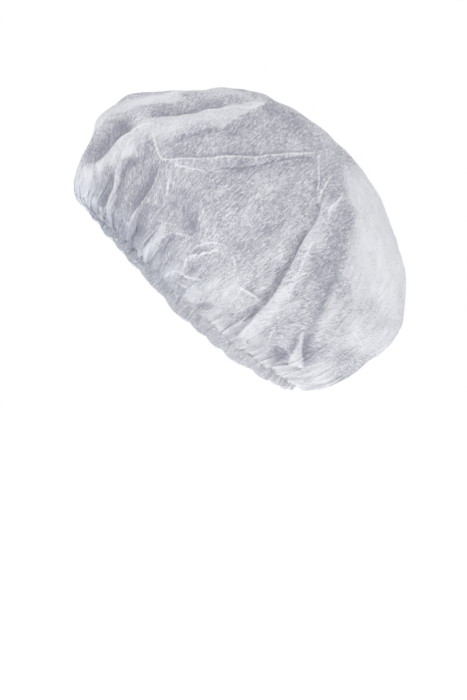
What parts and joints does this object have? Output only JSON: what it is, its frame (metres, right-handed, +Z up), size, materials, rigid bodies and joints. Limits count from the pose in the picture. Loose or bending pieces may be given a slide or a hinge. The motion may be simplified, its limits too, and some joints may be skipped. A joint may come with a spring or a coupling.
{
  "type": "bouffant cap",
  "caption": "Gathered bouffant cap of sheer white non-woven cloth, a puffed dome with a narrow turned-in hem on a hidden elastic, shown in its worn form.",
  "frame": {"origin": "middle of the gathered head opening, on the plane of its forehead and nape edges, where a head goes in", "axes": "the wearer faces -Y and the wearer's left side is +X; +Z is up as worn, and the opening faces down and forward, tipped 41.4 degrees"},
  "size_m": [0.2085, 0.2695, 0.2453],
  "materials": {
    "nonwoven_cloth": "matt, sheer, fibrous",
    "doubled_cloth": "matt, doubled sheer cloth",
    "elastic": "matt"
  },
  "bodies": {
    "root": {"crown": "nonwoven_cloth", "hem": "doubled_cloth", "elastic_band": "elastic"}
  },
  "joints": []
}
